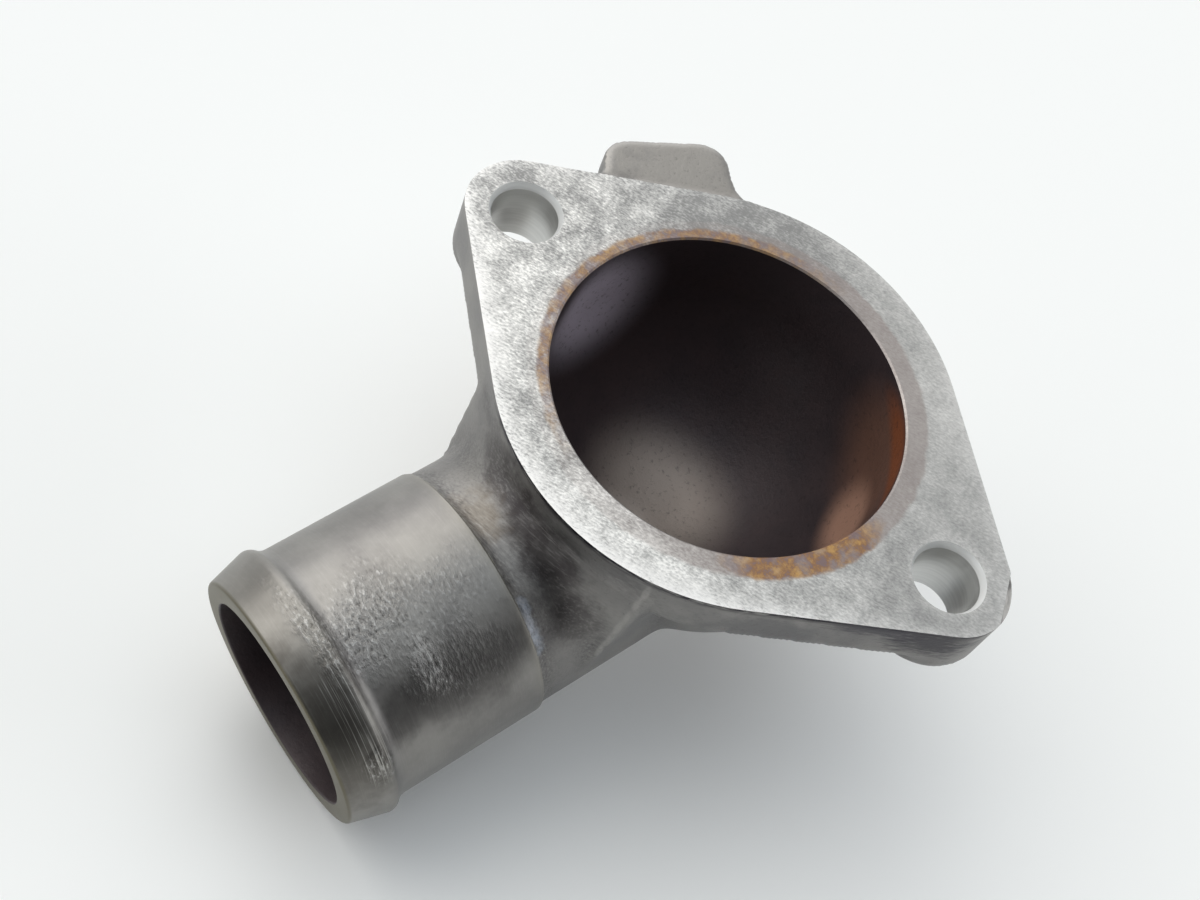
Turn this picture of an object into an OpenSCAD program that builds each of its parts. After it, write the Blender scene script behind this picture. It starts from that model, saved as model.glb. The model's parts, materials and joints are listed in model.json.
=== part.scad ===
// Coolant elbow for an engine: one aluminium casting with a two-bolt joint face, a round bowl
// below the face and a turned hose spigot that leaves the bowl sideways.
// Origin: middle of the bowl's opening, on the joint face. +X runs through the bolt holes and
// +Z points out of the face. Lengths are in millimetres.

/* [Joint face] */
// Diameter of the bowl's opening in the joint face
bowl_d = 44; // [36:0.5:48]
// Width of the joint face round the opening
land_w = 7; // [5.5:0.1:10]
// Distance between the middles of the two bolt holes
bolt_pitch = 66; // [60:0.5:80]
// Diameter of the bolt holes
bolt_d = 8.4; // [6.4:0.1:9]
// Wall between a bolt hole and the tip of its ear
ear_wall = 3.6; // [2.6:0.1:6]
// Thickness of the flange plate
flange_t = 6.4; // [5:0.1:9]
// How far the bosses under the ears stand below the plate
boss_drop = 3; // [1.5:0.1:6]
// Size of the sloped edge round the foot of a boss
boss_edge = 1.2; // [0.2:0.1:1.4]
// Width of the chamfer at the top of a bolt hole
chamfer_w = 0.45; // [0.2:0.05:1]
// Depth of the chamfer at the top of a bolt hole
chamfer_h = 0.9; // [0.3:0.1:1.5]
// How far the cast outline sits off the machined holes, square to the bolt line
cast_shift = 0.35; // [-0.6:0.05:0.6]

/* [Bowl] */
// Depth of the bowl's straight part, above its round bottom
bowl_straight = 9; // [7:0.5:14]
// Thickness of the bowl's wall
bowl_wall = 2.6; // [2.2:0.1:4]
// Size of the sloped root between the bowl and the plate
root_size = 2.8; // [1:0.2:5]
// Height of the spigot's bore above the bottom of the bowl, where the bore starts
bore_step = 0.4; // [0.2:0.1:2]

/* [Spigot] */
// Outside diameter of the turned hose seat
hose_d = 32; // [26:0.5:36]
// Wall of the spigot at the hose seat
spigot_wall = 3.1; // [2.2:0.1:4.5]
// Length of the turned hose seat, from the mouth
seat_l = 25.8; // [18:0.2:40]
// Angle of the spigot from the square to the bolt line, seen from above
spigot_turn = 13.7; // [0:0.1:25]
// Angle by which the spigot falls away from the joint face
spigot_droop = 8.2; // [4:0.1:12]
// Height of the hose bead above the hose seat
bead_h = 1; // [0.8:0.1:3]
// Distance from the mouth to the crest of the bead
bead_back = 5; // [3.5:0.1:8]
// Radius of the rounded crest of the bead
bead_crest_r = 1.3; // [1:0.1:3]
// Radius of the hollow behind the bead
bead_root_r = 2; // [0.5:0.1:3]
// How much the mouth is smaller than the hose seat, in radius
mouth_lead = 0.25; // [0.1:0.05:1.2]

/* [Neck] */
// Length of the cast neck between the plate's edge and the hose seat
neck_l = 3.8; // [2:0.2:12]
// Depth of the step where the turned seat meets the cast neck
neck_step = 0.45; // [0.2:0.05:1]
// How far the throat's front leans out from the plate to its foot
front_lean = 2.3; // [1.5:0.1:3]
// How far each cheek of the throat leans out from the neck up to the plate
cheek_lean = 1.1; // [0.5:0.1:3]

/* [Tab] */
// Width of the tab
tab_w = 16.8; // [10:0.2:18]
// Largest radius of the hollow corners at the tab's foot
tab_foot_r = 5; // [1:0.2:7]
// How far the tab's end stands out from the round middle of the plate
tab_l = 8.9; // [8:0.1:16]
// Thickness of the tab
tab_t = 4.2; // [3:0.2:6]
// Depth of the tab's top below the joint face
tab_drop = 0.6; // [0.3:0.1:3]
// Radius of the tab's outer corners
tab_corner_r = 3.6; // [1:0.2:5]
// Angle of the tab from the square to the plate's straight edge
tab_turn = 10.5; // [-5:0.5:12]
// How far the tab sits to the side of its middle line, towards the ear
tab_shift = 1; // [0:0.2:4]

/* [Worn ear] */
// How far the nicked tip of the second ear is set back
nick_w = 0.9; // [0.4:0.1:2]
// Depth of that nick below the joint face
nick_h = 0.8; // [0.4:0.1:3]
// Direction of the nick, from the bolt line
nick_turn = 22; // [0:1:40]

/* [Hidden] */
$fn = 96;
// Length by which cutters run past the faces that they cut
past = 1;
// How far added shapes reach into the solids that carry them
sink = 1.2;
// How far the cheeks of the throat start inside the widest line of the neck
cheek_inset = 0.05;
// Direction of the cheeks' lower corners, below the spigot's axis
cheek_foot_a = 20;
// Flat rim kept on the plate's underside, outside the bowl's root
root_rim = 0.5;
// How far the tab's foot reaches into the plate
tab_sink = 3.6;

disc_r = bowl_d / 2 + land_w;
ear_r = bolt_d / 2 + ear_wall;
ear_x = bolt_pitch / 2;
// Direction of the line that touches both the round middle and an ear, from the bolt line
touch_a = acos((disc_r - ear_r) / ear_x);
boss_depth = flange_t + boss_drop;
dome_r = bowl_d / 2 + bowl_wall;
root = min(root_size, land_w - bowl_wall - root_rim);
bore_r = hose_d / 2 - spigot_wall;
neck_r = hose_d / 2 - neck_step;
neck_reach = disc_r + neck_l;
spigot_reach = neck_reach + seat_l;
bead_r = hose_d / 2 + bead_h;
mouth_r = hose_d / 2 - mouth_lead;
// Depth at which the spigot's axis crosses the bowl's axis
axis_depth = bowl_straight + bowl_d / 2 - bore_r - bore_step;
// Height above the joint face at which the bowl's cutter clears the start of a thick neck
hollow_top = past + max(0, neck_r - axis_depth);
// Depth of the spigot's axis where the throat's front stands
front_depth = axis_depth + disc_r * tan(spigot_droop);

// Outline of the plate: the round middle, two ears and the straight edges that touch both.
module plate_outline() {
    touch = [cos(touch_a), sin(touch_a)];
    circle(r = disc_r);
    for (side = [-1, 1]) {
        translate([side * ear_x, 0]) circle(r = ear_r);
        polygon([
            [0, 0],
            [side * touch[0] * disc_r, touch[1] * disc_r],
            [side * (ear_x + touch[0] * ear_r), touch[1] * ear_r],
            [side * (ear_x + touch[0] * ear_r), -touch[1] * ear_r],
            [side * touch[0] * disc_r, -touch[1] * disc_r],
        ]);
    }
}

// The plate, with a boss below each ear.
module flange() {
    translate([0, cast_shift, -flange_t]) linear_extrude(flange_t) plate_outline();
    for (side = [-1, 1]) translate([side * ear_x, cast_shift, -boss_depth]) {
        cylinder(h = boss_edge, r1 = ear_r - boss_edge, r2 = ear_r);
        translate([0, 0, boss_edge]) cylinder(h = boss_drop + sink - boss_edge, r = ear_r);
    }
}

// A straight round part with a half-round bottom, from the joint face down.
module round_bottom(r, top) {
    translate([0, 0, -bowl_straight]) rotate_extrude() {
        square([r, bowl_straight + top]);
        intersection() {
            circle(r = r);
            translate([0, -r]) square([r, r]);
        }
    }
}

// Outside of the bowl, with a sloped root at the plate.
module bowl_outside() {
    round_bottom(dome_r, -flange_t / 2);
    translate([0, 0, -flange_t - root])
        cylinder(h = root + sink, r1 = dome_r - sink, r2 = dome_r + root);
}

// Moves its children to the spigot: +Z runs along the axis to the mouth, +Y towards the plate.
module on_spigot() {
    translate([0, 0, -axis_depth])
        rotate([0, 0, -spigot_turn]) rotate([90 + spigot_droop, 0, 0]) children();
}

// The cast neck, the turned hose seat and its bead.
module spigot() {
    on_spigot() {
        cylinder(h = neck_reach + sink, r = neck_r);
        translate([0, 0, neck_reach]) cylinder(h = seat_l - bead_back, r = hose_d / 2);
        translate([0, 0, spigot_reach - bead_back]) bead();
    }
}

// The hose bead: a rounded crest at the height 0, a long cone from there to the mouth, and a
// hollow behind it that touches both the crest and the hose seat.
module bead() {
    seat_r = hose_d / 2;
    crest_x = bead_r - bead_crest_r;
    root = [seat_r + bead_root_r,
            -sqrt(pow(bead_crest_r + bead_root_r, 2) - pow(seat_r + bead_root_r - crest_x, 2))];
    rotate_extrude() {
        translate([crest_x, 0]) circle(r = bead_crest_r);
        polygon([
            [0, -bead_crest_r],
            [crest_x, -bead_crest_r],
            [bead_r, 0],
            [mouth_r, bead_back],
            [0, bead_back],
        ]);
        difference() {
            polygon([[seat_r - sink, root[1]], root, [crest_x, 0], [seat_r - sink, 0]]);
            translate(root) circle(r = bead_root_r);
        }
    }
}

// The throat between the neck and the plate: its front leans out below the edge of the plate
// and its cheeks lean in to the widest line of the neck.
module throat() {
    foot = (neck_r - sink) * [cos(cheek_foot_a), -sin(cheek_foot_a)];
    intersection() {
        translate([0, 0, -front_depth])
            cylinder(h = front_depth - flange_t / 2, r1 = disc_r + front_lean, r2 = disc_r - cheek_inset);
        on_spigot() linear_extrude(spigot_reach)
            polygon([
                [-neck_r - cheek_lean, axis_depth],
                [-neck_r + cheek_inset, 0],
                [-foot[0], foot[1]],
                foot,
                [neck_r - cheek_inset, 0],
                [neck_r + cheek_lean, axis_depth],
            ]);
    }
}

// One hollow corner at the tab's foot: a round of radius r about the point middle, which lies in
// the direction plate_dir from the plate. The tab's side runs at the height side * tab_w / 2.
module tab_corner(r, middle, plate_dir, side) {
    difference() {
        polygon([
            [disc_r - tab_sink, side * (tab_w / 2 - sink)],
            [middle[0], side * (tab_w / 2 - sink)],
            [middle[0], side * tab_w / 2],
            middle,
            middle - r * plate_dir,
            middle - (r + sink) * plate_dir,
        ]);
        translate(middle) circle(r = r);
    }
}

// Outline of the tab, with its length along X: one hollow corner runs into the plate's straight
// edge and the other into the plate's round middle. Neither reaches past the tab's shoulder.
module tab_outline() {
    half = tab_w / 2;
    shoulder = disc_r + tab_l - tab_corner_r;
    edge_side = half + tab_shift;
    edge_dir = [cos(tab_turn), -sin(tab_turn)];
    edge_room = (shoulder * edge_dir[0] - disc_r + edge_side * edge_dir[1]) / (1 - edge_dir[1]);
    edge_r = min(tab_foot_r, edge_room);
    edge_x = (disc_r + edge_r - (edge_side + edge_r) * edge_dir[1]) / edge_dir[0];
    disc_side = half - tab_shift;
    disc_room = (pow(shoulder, 2) + pow(disc_side, 2) - pow(disc_r, 2)) / (disc_r - disc_side) / 2;
    foot_r = min(tab_foot_r, disc_room);
    disc_x = sqrt(pow(disc_r + foot_r, 2) - pow(disc_side + foot_r, 2));
    disc_dir = [disc_x, -disc_side - foot_r] / (disc_r + foot_r);
    translate([disc_r - tab_sink, -half]) square([tab_l + tab_sink - tab_corner_r, tab_w]);
    translate([shoulder, tab_corner_r - half]) square([tab_corner_r, tab_w - 2 * tab_corner_r]);
    for (side = [-1, 1])
        translate([shoulder, side * (half - tab_corner_r)]) circle(r = tab_corner_r);
    tab_corner(edge_r, [edge_x, half + edge_r], edge_dir, 1);
    tab_corner(foot_r, [disc_x, -half - foot_r], disc_dir, -1);
}

// The cast tab on the straight edge beside the first ear.
module tab() {
    translate([0, cast_shift, -tab_drop - tab_t]) rotate([0, 0, 180 - touch_a + tab_turn])
        translate([0, tab_shift, 0]) linear_extrude(tab_t) tab_outline();
}

// The hollow inside: the bowl and the spigot's bore.
module hollow() {
    round_bottom(bowl_d / 2, hollow_top);
    on_spigot() cylinder(h = spigot_reach + past, r = bore_r);
}

// One bolt hole with its chamfer.
module bolt_hole() {
    rim = chamfer_w * (1 + past / chamfer_h);
    translate([0, 0, -boss_depth - past]) cylinder(h = boss_depth + 2 * past, r = bolt_d / 2);
    translate([0, 0, -chamfer_h])
        cylinder(h = chamfer_h + past, r1 = bolt_d / 2, r2 = bolt_d / 2 + rim);
}

// The nick at the tip of the second ear.
module nick() {
    translate([ear_x, cast_shift, 0]) rotate([0, 0, nick_turn]) translate([ear_r - nick_w, -ear_r, -nick_h])
        cube([nick_w + past, 2 * ear_r, nick_h + past]);
}

// The whole casting, hollowed and drilled.
module housing() {
    color("#8f8d89") difference() {
        union() {
            flange();
            bowl_outside();
            throat();
            spigot();
            tab();
        }
        hollow();
        for (side = [-1, 1]) translate([side * ear_x, 0, 0]) bolt_hole();
        nick();
    }
}

housing();
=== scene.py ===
# %% [markdown]
# # A coolant elbow, cast and then machined
# The part is one aluminium casting from an engine's cooling system. A flange with two bolt holes
# closes the thermostat's chamber, and a hose slides on the spigot at its side.
# This lesson makes it in the order of a foundry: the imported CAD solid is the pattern, a remesh of
# it is the rough casting, and then tools turn the spigot, mill the joint face and drill the holes.

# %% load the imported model
import json
import math
import bmesh
import bpy
import numpy as np
from mathutils import Matrix, Vector, noise
from mathutils.kdtree import KDTree

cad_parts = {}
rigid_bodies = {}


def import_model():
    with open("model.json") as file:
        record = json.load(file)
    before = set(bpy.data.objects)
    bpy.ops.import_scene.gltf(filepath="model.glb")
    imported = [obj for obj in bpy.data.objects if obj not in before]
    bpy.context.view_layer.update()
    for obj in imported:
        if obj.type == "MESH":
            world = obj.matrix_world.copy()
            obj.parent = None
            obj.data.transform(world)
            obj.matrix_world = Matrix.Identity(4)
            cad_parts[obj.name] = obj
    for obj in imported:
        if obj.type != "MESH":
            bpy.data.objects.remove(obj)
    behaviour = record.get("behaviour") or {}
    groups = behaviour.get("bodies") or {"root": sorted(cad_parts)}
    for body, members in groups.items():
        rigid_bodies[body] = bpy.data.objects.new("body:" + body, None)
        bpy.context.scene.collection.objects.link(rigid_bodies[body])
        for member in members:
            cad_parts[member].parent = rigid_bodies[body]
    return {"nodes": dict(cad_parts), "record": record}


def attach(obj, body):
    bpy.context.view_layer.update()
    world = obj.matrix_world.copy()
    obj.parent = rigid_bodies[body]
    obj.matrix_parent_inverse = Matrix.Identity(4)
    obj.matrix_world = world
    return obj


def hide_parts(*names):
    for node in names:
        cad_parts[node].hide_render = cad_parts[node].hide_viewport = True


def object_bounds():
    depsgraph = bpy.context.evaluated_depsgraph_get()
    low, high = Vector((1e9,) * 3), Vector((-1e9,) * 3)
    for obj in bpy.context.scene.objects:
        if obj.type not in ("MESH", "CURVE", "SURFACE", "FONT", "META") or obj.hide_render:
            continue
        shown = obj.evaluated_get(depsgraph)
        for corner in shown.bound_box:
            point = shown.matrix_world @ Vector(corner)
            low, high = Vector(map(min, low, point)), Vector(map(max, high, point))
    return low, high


for old in list(bpy.data.objects):
    bpy.data.objects.remove(old)
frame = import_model()
cad_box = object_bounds()
pattern = frame["nodes"]["housing"]
MM = 0.001
# Places that are closer than this, in metres, count as the same.
TINY = 1e-6
print("pattern:", len(pattern.data.polygons), "faces, size in mm:",
      [round(side / MM, 1) for side in cad_box[1] - cad_box[0]])

# %% [markdown]
# The record that comes with the model knows the mounts: the bolt pattern and the seat of the hose.
# The tools are set up from these, so they cut where the CAD says.
# The other lengths repeat the driving dimensions of the CAD source, in millimetres.

# %% driving sizes
mounts = {mount["name"]: mount for mount in frame["record"]["mounts"]}
bolts, seat = mounts["flange_bolts"], mounts["hose_seat"]
bolt_x = bolts["dims"]["spacing_x_mm"] / 2 * MM
bolt_r = bolts["dims"]["hole_r_mm"] * MM
seat_r = seat["dims"]["r_mm"] * MM
seat_l = seat["dims"]["length_mm"] * MM
spigot_dir = Vector(seat["axis"]).normalized()
bowl_r = 22 * MM
bowl_straight = 9 * MM
bowl_wall = 2.6 * MM
bore_r = 12.9 * MM
neck_r = 15.55 * MM
seat_start = 32.8 * MM
bead_r = 17 * MM
bead_back = 5 * MM
bead_crest_r = 1.3 * MM
bead_root_r = 2 * MM
mouth_r = 15.75 * MM
chamfer_w = 0.45 * MM
chamfer_h = 0.9 * MM
ear_r = 7.8 * MM
ear_y = 0.35 * MM
nick_w = 0.9 * MM
nick_h = 0.8 * MM
nick_turn = math.radians(22)
# The spigot's axis crosses the bowl's axis below the joint face.
spigot_origin = Vector(seat["pos_m"]) - spigot_dir * (seat["pos_m"][1] / spigot_dir.y)
print("spigot starts", round(-spigot_origin.z / MM, 1), "mm below the face; bolts at x = +-",
      round(bolt_x / MM, 1), "mm")

# %% [markdown]
# The camera looks from the angle of the photograph. Its distance, its two angles, its roll and its
# lens were found from the ellipses of the opening, the bolt holes and the spigot's mouth.

# %% camera
VIEW_TARGET = Vector((-5.156, -18.672, 0)) * MM
VIEW_DISTANCE = 189.85 * MM
VIEW_AZIMUTH, VIEW_ELEVATION, VIEW_ROLL = 17.423, 55.280, 27.106
SENSOR, LENS = 36, 50.975
camera = bpy.data.objects.new("camera", bpy.data.cameras.new("camera"))
camera.data.sensor_fit = "HORIZONTAL"
camera.data.sensor_width = SENSOR
camera.data.lens = LENS
camera.data.clip_start, camera.data.clip_end = 0.01, 100
turn = (Matrix.Rotation(math.radians(VIEW_AZIMUTH), 4, "Z")
        @ Matrix.Rotation(math.radians(90 - VIEW_ELEVATION), 4, "X")
        @ Matrix.Rotation(math.radians(VIEW_ROLL), 4, "Z"))
camera.matrix_world = (Matrix.Translation(VIEW_TARGET) @ turn
                       @ Matrix.Translation((0, 0, VIEW_DISTANCE)))
bpy.context.scene.collection.objects.link(camera)
bpy.context.scene.camera = camera
print("camera at", [round(v / MM, 1) for v in camera.matrix_world.translation], "mm")

# %% [markdown]
# Two helpers serve every finish. One turns a written sRGB colour into the linear numbers that
# shaders use. The other adds a node with its settings and its links. The four kinds of node that
# come up most often get short names.

# %% helpers for colours and nodes
NOISE, RANGE = "ShaderNodeTexNoise", "ShaderNodeMapRange"
MATH, VECTOR = "ShaderNodeMath", "ShaderNodeVectorMath"


def linear(hex_colour):
    """The linear RGBA numbers of an sRGB colour such as "#8a8880"."""
    parts = [int(hex_colour[i:i + 2], 16) / 255 for i in (1, 3, 5)]
    return [c / 12.92 if c <= 0.04045 else ((c + 0.055) / 1.055) ** 2.4 for c in parts] + [1]


def add(tree, kind, links=None, **settings):
    """Adds a node. links maps an input's name or number to a value or to another node's output."""
    node = tree.nodes.new(kind)
    for name, value in settings.items():
        setattr(node, name, value)
    for key, value in (links or {}).items():
        if isinstance(value, bpy.types.NodeSocket):
            tree.links.new(value, node.inputs[key])
        else:
            node.inputs[key].default_value = value
    return node


# %% [markdown]
# Tools and turned parts are bodies of revolution: a half section is spun about its own Z axis.
# Other tools are sheets with a shaped underside, closed with a flat top.
# Boolean modifiers then cut or join, with the solver for closed meshes, which is fast on dense
# ones. A modifier is made permanent by taking the evaluated mesh.

# %% helpers for turning and cutting
def arc(middle, radius, start, end, steps):
    """Points on an arc of a half section, from one angle to another, in degrees."""
    angles = [math.radians(start + (end - start) * i / steps) for i in range(steps + 1)]
    return [(middle[0] + radius * math.cos(a), middle[1] + radius * math.sin(a)) for a in angles]


def placed(name, bm, place):
    """Makes an object of an edited mesh, puts it at a place and links it to the scene."""
    mesh = bpy.data.meshes.new(name)
    bm.to_mesh(mesh)
    bm.free()
    piece = bpy.data.objects.new(name, mesh)
    piece.matrix_world = place
    bpy.context.scene.collection.objects.link(piece)
    return piece


def turned(name, section, place, segments=160, closed=False):
    """Spins a half section of (radius, height) points about Z and puts the solid at place."""
    bm = bmesh.new()
    points = [bm.verts.new((r, 0, z)) for r, z in section]
    pairs = zip(points, points[1:] + points[:1] if closed else points[1:])
    edges = [bm.edges.new(pair) for pair in pairs]
    bmesh.ops.spin(bm, geom=points + edges, axis=(0, 0, 1), angle=2 * math.pi, steps=segments,
                   use_merge=True)
    bmesh.ops.remove_doubles(bm, verts=bm.verts, dist=TINY)
    bmesh.ops.recalc_face_normals(bm, faces=bm.faces)
    return placed(name, bm, place)


def topped(name, bm, height, place):
    """Closes a sheet with a flat top at a height, which makes it a solid tool."""
    top = bmesh.ops.extrude_face_region(bm, geom=bm.faces[:])
    for part in top["geom"]:
        if isinstance(part, bmesh.types.BMVert):
            part.co.z = height
    bmesh.ops.recalc_face_normals(bm, faces=bm.faces)
    return placed(name, bm, place)


def settle(piece):
    """Makes the piece's modifiers permanent."""
    depsgraph = bpy.context.evaluated_depsgraph_get()
    mesh = bpy.data.meshes.new_from_object(piece.evaluated_get(depsgraph))
    piece.modifiers.clear()
    piece.data = mesh


def machine(piece, tool, operation):
    """Cuts the tool out of the piece, or joins it on, and puts the tool away."""
    step = piece.modifiers.new(tool.name, "BOOLEAN")
    step.operation, step.object, step.solver = operation, tool, "MANIFOLD"
    settle(piece)
    bpy.data.objects.remove(tool)
    print(operation.lower(), "->", len(piece.data.vertices), "vertices")


# %% [markdown]
# A rough casting has no sharp edges and no finished faces. So the pattern's joint face is raised
# by a machining allowance, its bolt holes are made small, the nick in its ear is filled, and a voxel
# remesh turns it into an even skin. Bevels would break where so many rounded shapes cross, and a
# remesh doesn't mind. The voxels are fine enough for the small radii of a die casting.

# %% rough casting
ALLOWANCE = 2 * MM
VOXEL = 0.5 * MM
HOLE_REACH = bolt_r + chamfer_w + 0.1 * MM
bm = bmesh.new()
bm.from_mesh(pattern.data)
bmesh.ops.remove_doubles(bm, verts=bm.verts, dist=TINY)
for vert in bm.verts:
    on_nick = abs(vert.co.z + nick_h) < TINY and vert.co.x > bolt_x + bolt_r
    if on_nick or vert.co.z > -TINY:
        vert.co.z = ALLOWANCE
    hole = Vector((math.copysign(bolt_x, vert.co.x), 0))
    off = vert.co.xy - hole
    if off.length < HOLE_REACH:
        vert.co.xy = hole + off / 2
casting = placed("coolant_elbow_casting", bm, Matrix())
remesh = casting.modifiers.new("skin", "REMESH")
remesh.mode, remesh.voxel_size = "VOXEL", VOXEL
settle(casting)
print("skin:", len(casting.data.vertices), "vertices")

# %% [markdown]
# Foundry patterns have generous radii in their hollows, where metal would tear, and small ones on
# outer corners. A vertex lies in a hollow where its neighbours stand above its normal plane, and
# on a ridge where they fall below it. The hollow measure is spread over a few millimetres, less
# what lies on a ridge, and becomes a vertex group. A smoothing that follows the group then fills
# the hollows only, and leaves the plate's outline near the joint face as it is. The valley between
# the spigot and the flange gets a second, wider pass.

# %% casting radii
OUTER_ROUNDS = 2
RIDGE_LEAST, RIDGE_SPREAD, RIDGE_GAIN = 0.025, 10, 70
VALLEY, VALLEY_SIZE = np.array((-4, -28, -8)) * MM, 17 * MM
PLATE_EDGE, PLATE_FADE = 1 * MM, 3 * MM


def rises(mesh):
    """For each vertex, how far its neighbours stand above its normal plane, over their distance,
    and a function that averages a value over the neighbours."""
    count = len(mesh.vertices)
    places, normals = np.empty(count * 3), np.empty(count * 3)
    mesh.vertices.foreach_get("co", places)
    mesh.vertex_normals.foreach_get("vector", normals)
    places, normals = places.reshape(-1, 3), normals.reshape(-1, 3)
    ends = np.empty(len(mesh.edges) * 2, int)
    mesh.edges.foreach_get("vertices", ends)
    one, two = np.concatenate([ends.reshape(-1, 2), ends.reshape(-1, 2)[:, ::-1]]).T
    near = np.bincount(one, minlength=count)

    def average(values):
        return np.bincount(one, values[two], count) / near

    step = places[two] - places[one]
    rise = (normals[one] * step).sum(1) / np.linalg.norm(step, axis=1)
    return np.bincount(one, rise, count) / near, average


def spread(values, average, rounds):
    """Mixes each vertex's value with those of its neighbours, round after round."""
    for _ in range(rounds):
        values = (values + average(values)) / 2
    return values


def smooth(piece, rounds, group=""):
    """Smooths the piece, all over or as far as a vertex group says."""
    step = piece.modifiers.new("radii", "SMOOTH")
    step.factor, step.iterations, step.vertex_group = 0.5, rounds, group
    settle(piece)


def fill_hollows(piece, reach, gain, rounds, middle=None):
    """Smooths what lies in hollows, all over or only near a place."""
    rise, average = rises(piece.data)
    amount = np.clip(spread(np.maximum(rise, 0), average, reach) * gain, 0, 1)
    amount -= spread(np.maximum(-rise - RIDGE_LEAST, 0), average, RIDGE_SPREAD) * RIDGE_GAIN
    places = np.array([vert.co for vert in piece.data.vertices])
    amount *= np.clip((-places[:, 2] - PLATE_EDGE) / PLATE_FADE, 0, 1)
    if middle is not None:
        amount *= np.clip(2 - 2 * np.linalg.norm(places - middle, axis=1) / VALLEY_SIZE, 0, 1)
    group = piece.vertex_groups.new(name="filled")
    for index in np.flatnonzero(amount > 0.01):
        group.add([int(index)], float(amount[index]), "REPLACE")
    smooth(piece, rounds, "filled")
    piece.vertex_groups.clear()
    print("in hollows:", int((amount > 0.5).sum()), "of", len(amount), "vertices")


smooth(casting, OUTER_ROUNDS)
fill_hollows(casting, reach=40, gain=14, rounds=160)
fill_hollows(casting, reach=120, gain=40, rounds=500, middle=VALLEY)

# %% [markdown]
# The spigot is turned after casting, so it is made as a lathe makes it: a wall section with the
# rounded bead and the lead-in cone, spun about the hose's axis. The cast stump is sawn off square
# first, and the turned tube is joined on with a small step at the neck. The saw cuts a hair inside
# the tube's end face, because a join fails where two faces lie in one plane.

# %% turned spigot
TOOL_LENGTH = 60 * MM
EDGE_R = 0.25 * MM
BURIED = 2 * MM
SEAM = 0.05 * MM
SEAT_ROWS, BORE_ROWS = 24, 12
on_spigot = Matrix.Translation(spigot_origin) @ spigot_dir.to_track_quat("Z", "Y").to_matrix().to_4x4()
end = seat_start + seat_l
crest = end - bead_back
cut = seat_start + SEAM
saw = turned("saw", [(0, cut), (bead_r + BURIED, cut), (bead_r + BURIED, cut + TOOL_LENGTH),
                     (0, cut + TOOL_LENGTH)], on_spigot)
machine(casting, saw, "DIFFERENCE")
crest_middle = (bead_r - bead_crest_r, crest)
lead_angle = math.degrees(math.atan2(bead_r - mouth_r, bead_back))
root_x = seat_r + bead_root_r - crest_middle[0]
root_drop = math.sqrt((bead_crest_r + bead_root_r) ** 2 - root_x ** 2)
root_middle = (seat_r + bead_root_r, crest - root_drop)
touch_angle = math.degrees(math.atan2(root_drop, -root_x))
seat_rise = root_middle[1] - seat_start
bore_fall = seat_start - BURIED - end
section = [(bore_r, seat_start - BURIED), (neck_r - BURIED / 2, seat_start - BURIED),
           (neck_r - BURIED / 2, seat_start)]
section += arc((seat_r - EDGE_R, seat_start + EDGE_R), EDGE_R, -90, 0, 4)
section += [(seat_r, seat_start + seat_rise * i / SEAT_ROWS) for i in range(1, SEAT_ROWS)]
section += arc(root_middle, bead_root_r, 180, touch_angle, 6)
section += arc(crest_middle, bead_crest_r, touch_angle - 180, lead_angle, 10)[1:]
section += arc((mouth_r - 2 * EDGE_R, end - 2 * EDGE_R), 2 * EDGE_R, lead_angle, 90, 5)
section += arc((bore_r + EDGE_R, end - EDGE_R), EDGE_R, 90, 180, 4)
section += [(bore_r, end + bore_fall * i / BORE_ROWS) for i in range(1, BORE_ROWS)]
tube = turned("turned tube", section, on_spigot, segments=224, closed=True)
machine(casting, tube, "UNION")

# %% [markdown]
# The mill takes the allowance off and leaves a flat joint face with crisp edges. Its underside is
# a fine grid, so that the face gets vertices that can carry wear, and it stands a little to one
# side, so that its lines miss the casting's own. The drills make the two bolt holes with a small
# chamfer at the face, and a deburring cone breaks the edge of the opening.

# %% milled face and drilled holes
MILL_STEP = 0.9 * MM
MILL_SHIFT = MILL_STEP / 3
DEBUR = 0.22 * MM
cells = round(2 * TOOL_LENGTH / MILL_STEP)
bm = bmesh.new()
bmesh.ops.create_grid(bm, x_segments=cells, y_segments=cells, size=TOOL_LENGTH)
mill = topped("mill", bm, TOOL_LENGTH, Matrix.Translation((MILL_SHIFT, 0, 0)))
machine(casting, mill, "DIFFERENCE")
flare = chamfer_w / chamfer_h * (chamfer_h + BURIED)
for side in (-1, 1):
    drill = turned("drill", [(0, -TOOL_LENGTH), (bolt_r, -TOOL_LENGTH), (bolt_r, -chamfer_h),
                             (bolt_r + flare, BURIED), (0, BURIED)],
                   Matrix.Translation((side * bolt_x, 0, 0)), segments=96)
    machine(casting, drill, "DIFFERENCE")
cone = turned("deburring cone", [(0, -DEBUR - EDGE_R), (bowl_r - EDGE_R, -DEBUR - EDGE_R),
                                 (bowl_r + DEBUR + BURIED, BURIED), (0, BURIED)], Matrix())
machine(casting, cone, "DIFFERENCE")

# %% [markdown]
# The tip of the second ear has lost a chip along a straight line, from a knock. A bump map would
# leave the outline whole, so the chip is cut with a sloped sheet that noise has made ragged.

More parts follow.
